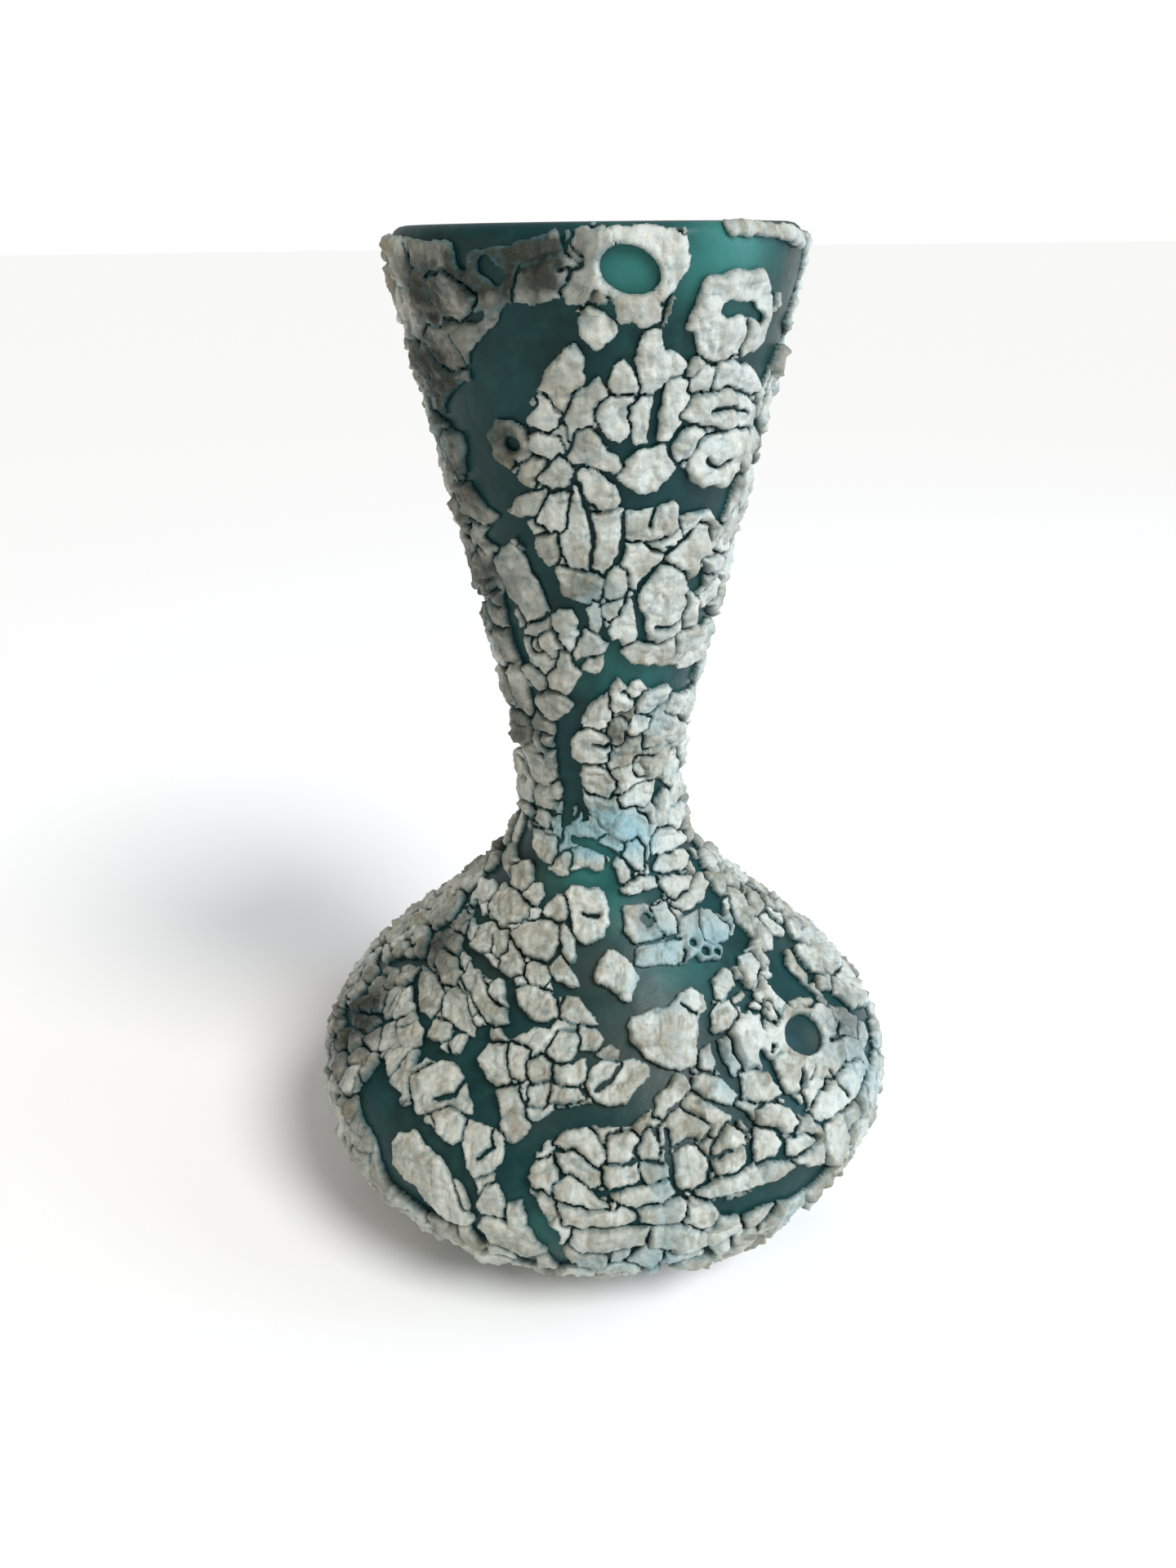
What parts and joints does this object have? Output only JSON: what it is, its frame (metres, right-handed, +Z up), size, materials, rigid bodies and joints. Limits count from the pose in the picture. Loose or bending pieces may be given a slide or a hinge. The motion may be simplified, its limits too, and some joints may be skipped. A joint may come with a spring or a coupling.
{
  "type": "vase",
  "caption": "Round stoneware vase with a squat belly, narrow neck and flared mouth, glazed green under a thick, broken crust.",
  "frame": {"origin": "centre of the foot ring, on the surface the vase stands on", "axes": "+Z up along the pot's axis, -Y towards the front with the two round bare spots, +X to the right of the front"},
  "size_m": [0.1278, 0.1278, 0.2],
  "materials": {
    "clay": "matte, fired stoneware",
    "green_glaze": "satin",
    "lining_glaze": "satin",
    "crust": "satin, dry at the edges"
  },
  "bodies": {
    "root": {"clay_body": "clay", "green_coat": "green_glaze", "inner_lining": "lining_glaze", "crust_underside": "crust", "crust_belly": "crust", "crust_shoulder": "crust", "crust_neck": "crust", "crust_trumpet": "crust", "crust_mouth": "crust"}
  },
  "joints": []
}
